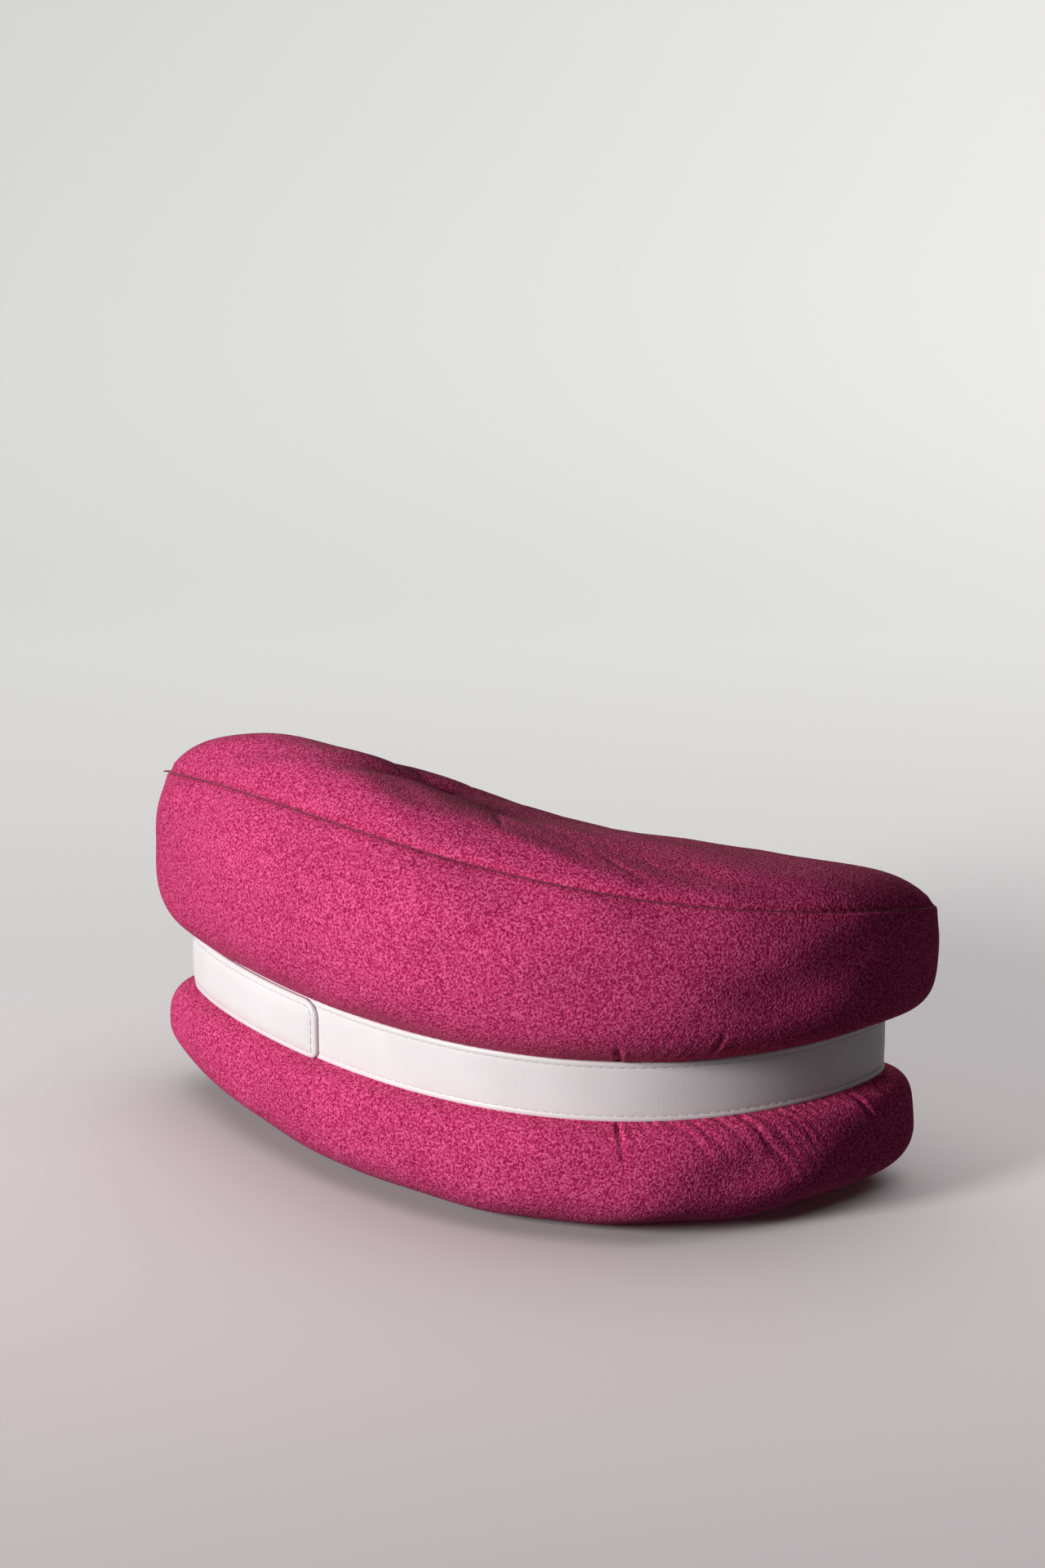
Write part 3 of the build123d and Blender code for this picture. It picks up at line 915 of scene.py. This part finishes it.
def layer_piece(name, start, length, low, width, profile, radii, lift):
    """A closed layer on the strap from nested loops; profile lists (distance inside the edge, height)."""
    rings = []
    for inset, height in profile:
        ring = rounded_loop(length, width, inset, radii)
        if inset > width / 2 - 0.7:
            ring[:, 1] = width / 2
        out = np.maximum(lift(ring[:, 0]) + height, -0.05)
        rings.append(outline_point(start + ring[:, 0], out, low + ring[:, 1]))
    piece = mesh_object(name, np.concatenate(rings), grid_faces(len(rings), len(rings[0])))
    return face_outwards(piece, merge=0.000024)


def flap_piece(name, profile):
    return layer_piece(name, flap_start, flap_length, flap_low, flap_width, profile, flap_radii,
                       lambda u: flap_lift(u) + flap_thickness)


def flap_stitches(name):
    """A row of stitches round the flap, a little inside its edge."""
    loop = rounded_loop(flap_length, flap_width, stitch_inset, flap_radii)
    closed = np.vstack([loop, loop[:1]])
    steps = np.linalg.norm(np.diff(closed, axis=0), axis=1)
    length = np.concatenate([[0], np.cumsum(steps)])
    count = int(length[-1] / 3.0)
    places = (np.arange(count) + 0.5) * length[-1] / count

    def on_flap(distance):
        u, v = (np.interp(distance, length, closed[:, k]) for k in (0, 1))
        return u, v

    u, v = on_flap(places)
    ahead_u, ahead_v = on_flap(places + 0.4)
    height = flap_thickness - 0.6
    centres = outline_point(flap_start + u, flap_lift(u) + height, flap_low + v)
    ahead = outline_point(flap_start + ahead_u, flap_lift(ahead_u) + height, flap_low + ahead_v)
    _, _, normal = waist.at(flap_start + u)
    return capsules(name, centres, unit(ahead - centres), in_space(normal), 2.5, 0.16, 0.03)


def fold(piece):
    """Bake a piece's placement into its mesh."""
    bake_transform(piece)


cover_profile = [(9, -0.72), (7, -0.72), (5, -0.72), (2.7, -0.76), (2.3, -1.2), (1.7, -1.85),
                 (1.0, -2.08), (0.4, -2.05), (0.08, -1.88), (0, -1.6), (0.02, -1.3), (0.14, -1.0),
                 (0.4, -0.78), (0.85, -0.62), (1.4, -0.56), (1.75, -0.63), (1.9, -0.67), (2.05, -0.6),
                 (2.5, -0.42), (3.4, -0.2), (5, -0.06), (7, 0), (9, 0)]
lining_profile = [(9, -1.34), (7, -1.34), (5, -1.34), (3.6, -1.32), (2.7, -1.3), (2.35, -1.25),
                  (2.3, -1.05), (2.5, -0.88), (5, -0.84), (7, -0.84), (9, -0.84)]
flap_cover = dress(flap_piece("flap_cover_piece", cover_profile), white_coat, None,
                   ["flap_cover"])
flap_lining = dress(flap_piece("flap_lining_piece", lining_profile), strap_lining, None,
                    ["flap_lining"])
flap_thread = dress(flap_stitches("flap_stitching_piece"), strap_thread, None,
                    ["flap_stitching"])

# ---------------------------------------------------------------- hook-and-loop tape
patch_low, patch_width, patch_radii = 38.7, 14.0, (1.5, 1.5, 1.5, 1.5)
loop_span, hook_span = (198.0, 242.8), (201.7, 240.9)  # angles of the outline


def patch_piece(name, span, profile):
    start, end = (waist.arc_at(angle) for angle in span)
    return layer_piece(name, start, end - start, patch_low, patch_width, profile, patch_radii,
                       lambda u: 0 * u)


def hooks(name, span):
    """Rows of tiny stiff hooks that stand on the flap's tape and point at the strap."""
    start, end = (waist.arc_at(angle) for angle in span)
    arc, z = np.meshgrid(np.arange(start + 1.2, end - 1.0, 1.5),
                         np.arange(patch_low + 1.2, patch_low + patch_width - 1.0, 1.5))
    arc = (arc + 0.75 * (np.arange(len(z)) % 2)[:, None]).ravel()
    _, tangent, normal = waist.at(arc)
    return capsules(name, outline_point(arc, 0.9, z.ravel()), in_space(-normal), in_space(tangent),
                    0.42, 0.16, 0.12)


loop_profile = [(6.6, 0.1), (3, 0.1), (0.3, 0.1), (0.05, 0.18), (0, 0.32), (0.1, 0.48), (0.4, 0.58),
                (1.5, 0.62), (6.6, 0.62)]
hook_profile = [(6.6, 1.38), (3, 1.38), (0.2, 1.38), (0, 1.3), (0, 1.18), (0.15, 1.08), (1, 1.06),
                (6.6, 1.06)]
dress(patch_piece("strap_loop_patch_piece", loop_span, loop_profile), loop_tape, "root",
      ["strap_loop_patch"])
hook_base = dress(patch_piece("flap_hook_patch_piece", hook_span, hook_profile), hook_tape,
                  None, ["flap_hook_patch"])
hook_rows = dress(hooks("flap_hook_rows", hook_span), hook_tape, None)
for piece in (flap_cover, flap_lining, flap_thread, hook_base, hook_rows):
    fold(piece)


# ---------------------------------------------------------------- zip at the back
def on_back(piece, x, z):
    """Place and outward direction on the back of a piece, both in the shared frame."""
    bpy.context.view_layer.update()
    inverse = piece.matrix_world.inverted()
    places, normals = [], []
    for px, pz in zip(x, z):
        _, place, normal, _ = piece.ray_cast(inverse @ Vector((px * MM, 0.2, pz * MM)), Vector((0, -1, 0)))
        places.append(np.array(piece.matrix_world @ place) / MM)
        normals.append(np.array(normal))
    return np.array(places), np.array(normals)


def zip_threads(name, x, z, upright, length, radius, height, bow=0.0):
    """Short rounded pieces laid on the zip's tape, along it or upright across it."""
    places, normals = on_back(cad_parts["zip_tape"], x, z)
    way = np.tile((0.0, 0.0, 1.0) if upright else (1.0, 0.0, 0.0), (len(x), 1))
    way = unit(way - normals * np.sum(way * normals, axis=1)[:, None])
    return capsules(name, places + normals * height, way, normals, length, radius, bow)


tooth_x = np.arange(zip_left + 3.2, zip_right - 3.0, 1.25)
tooth_z = zip_level + 0.35 * (-1.0) ** np.arange(len(tooth_x))
dress(zip_threads("zip_coil_piece", tooth_x, tooth_z, True, 3.3, 0.5, 0.42, 0.2),
      zip_coil_plastic, "root", ["zip_coil"])
row_x = np.arange(zip_left + 2.0, zip_right - 1.0, 3.0)
row_offsets = (-5.4, -2.9, 2.9, 5.4)
stitch_x = np.tile(row_x, len(row_offsets))
stitch_z = np.repeat([zip_level + offset for offset in row_offsets], len(row_x))
dress(zip_threads("zip_stitching", stitch_x, stitch_z, False, 2.3, 0.17, 0.06),
      cover_thread, "root")
tack_z = np.tile(np.arange(zip_level - 5.0, zip_level + 5.1, 0.5), 2)
tack_x = np.repeat([zip_left + 0.9, zip_right - 0.9], len(tack_z) // 2)
dress(zip_threads("zip_bar_tacks", tack_x, tack_z, False, 1.5, 0.22, 0.08),
      cover_thread, "root")

# The cover is turned back round the zip as a narrow rolled edge.
welt_side, welt_width = 1.2, 16.4
welt_loop = rounded_loop(zip_right - zip_left + 2 * welt_side, welt_width, 0.0, (3.0, 3.0, 3.0, 3.0))
welt_place, welt_out = on_back(bpy.data.objects["upper_wall_cover"], zip_left - welt_side + welt_loop[:, 0],
                               zip_level - welt_width / 2 + welt_loop[:, 1])
dress(tube("zip_welt", welt_place + welt_out * 0.25, welt_out, 1.15, 0.85, 12),
      fleece, "root")

# ---------------------------------------------------------------- CAD nodes that stay
node_materials = {
    "waist_panel": fleece, "upper_waist_seam": cover_thread, "lower_waist_seam": cover_thread,
    "strap_backing": strap_lining, "zip_tape": zip_tape_cloth,
    "zip_stops": enamel, "zip_slider": enamel, "zip_pull": enamel,
}
for node, material in node_materials.items():
    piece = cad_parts[node]
    piece.data.materials.clear()
    piece.data.materials.append(material)


# ---------------------------------------------------------------- stage, lights, camera
def sweep():
    """Pale paper floor that curves up into a wall all round; its colour is painted with light falloff."""
    flat, wall, steps = 0.7, 2.2, 96
    profile = [(0.01, 0.0), (0.3, 0.0)] + [(r, 0.55 * (r - flat) ** 3) for r in np.linspace(flat, wall, 30)]
    profile.append((2.5, 3.4))
    turn = np.arange(steps) * 2 * math.pi / steps
    points = [(r * math.cos(a) / MM, r * math.sin(a) / MM, z / MM) for r, z in profile for a in turn]
    faces = grid_faces(len(profile), steps)
    faces.append(tuple(range(steps)))
    paper = mesh_object("studio_sweep", points, faces)
    look = Look("studio_paper")
    # Painted light falloff: the paper's colour is darker towards the front and brighter towards the back
    # (tone), and brighter towards the right (shade).
    forward = look.distance((-math.sin(camera_yaw) / 2, math.cos(camera_yaw) / 2, 0), 0.15)
    aside = look.distance((math.cos(camera_yaw), math.sin(camera_yaw), 0), 0.5)
    tone = look.ramp(forward, (0.02, (0.40, 0.365, 0.375)), (0.08, (0.47, 0.425, 0.435)),
                     (0.15, (0.56, 0.515, 0.525)), (0.25, (0.57, 0.55, 0.555)), (0.34, (0.65, 0.64, 0.635)),
                     (0.5, (0.76, 0.76, 0.745)), (0.9, (0.79, 0.79, 0.775)))
    shade = look.ramp(aside, (0.15, (0.92,) * 3), (0.5, (1.0,) * 3), (0.85, (1.1,) * 3))
    paper.data.materials.append(look.shaded({"Base Color": look.multiplied(tone, shade), "Roughness": 0.9,
                                             "Specular IOR Level": 0.1}))
    paper.visible_diffuse = False
    return paper


def area_light(name, azimuth, elevation, distance, size, energy, colour=(1, 1, 1), target=(0, 0, 0.06)):
    """A square area light aimed at a target; azimuth, in degrees from the x axis, is where it stands."""
    data = bpy.data.lights.new(name, "AREA")
    data.shape = "RECTANGLE"
    data.size = data.size_y = size
    data.energy = energy
    data.color = colour
    light = bpy.data.objects.new(name, data)
    bpy.context.scene.collection.objects.link(light)
    a, e = math.radians(azimuth), math.radians(elevation)
    away = Vector((math.cos(a) * math.cos(e), math.sin(a) * math.cos(e), math.sin(e)))
    light.location = Vector(target) + away * distance
    light.rotation_euler = away.to_track_quat("Z", "Y").to_euler()
    return light


def light_only(light, name, pieces):
    """Let a light fall on some pieces only."""
    lit = bpy.data.collections.new(name)
    for piece in pieces:
        lit.objects.link(piece)
    light.light_linking.receiver_collection = lit


paper = sweep()
area_light("key_softbox", -123, 19, 1.45, 0.34, 22.8, (1.0, 0.985, 0.97))
light_only(area_light("floor_wash", 60, 88, 1.9, 3.6, 62, target=(0.05, 0.65, 0)), "paper_only", [paper])
light_only(area_light("back_fill", 112, 14, 1.5, 0.9, 6.5), "object_only",
           [piece for piece in bpy.context.scene.objects if piece.type == "MESH" and piece != paper])

world = bpy.data.worlds.new("studio_world")
world.use_nodes = True
background = world.node_tree.nodes["Background"]
background.inputs["Color"].default_value = (0.95, 0.97, 1.0, 1)
background.inputs["Strength"].default_value = 0.06
bpy.context.scene.world = world
bpy.context.scene.view_settings.view_transform = "Standard"

camera_data = bpy.data.cameras.new("camera")
camera_data.lens = 75.0
camera_data.sensor_width = 36.0
camera_data.clip_start, camera_data.clip_end = 0.05, 20
camera = bpy.data.objects.new("camera", camera_data)
camera.location = (0.3675, -0.8897, 0.3957)
camera.rotation_euler = (math.pi / 2 - camera_pitch, 0, camera_yaw)
bpy.context.scene.collection.objects.link(camera)
bpy.context.scene.camera = camera
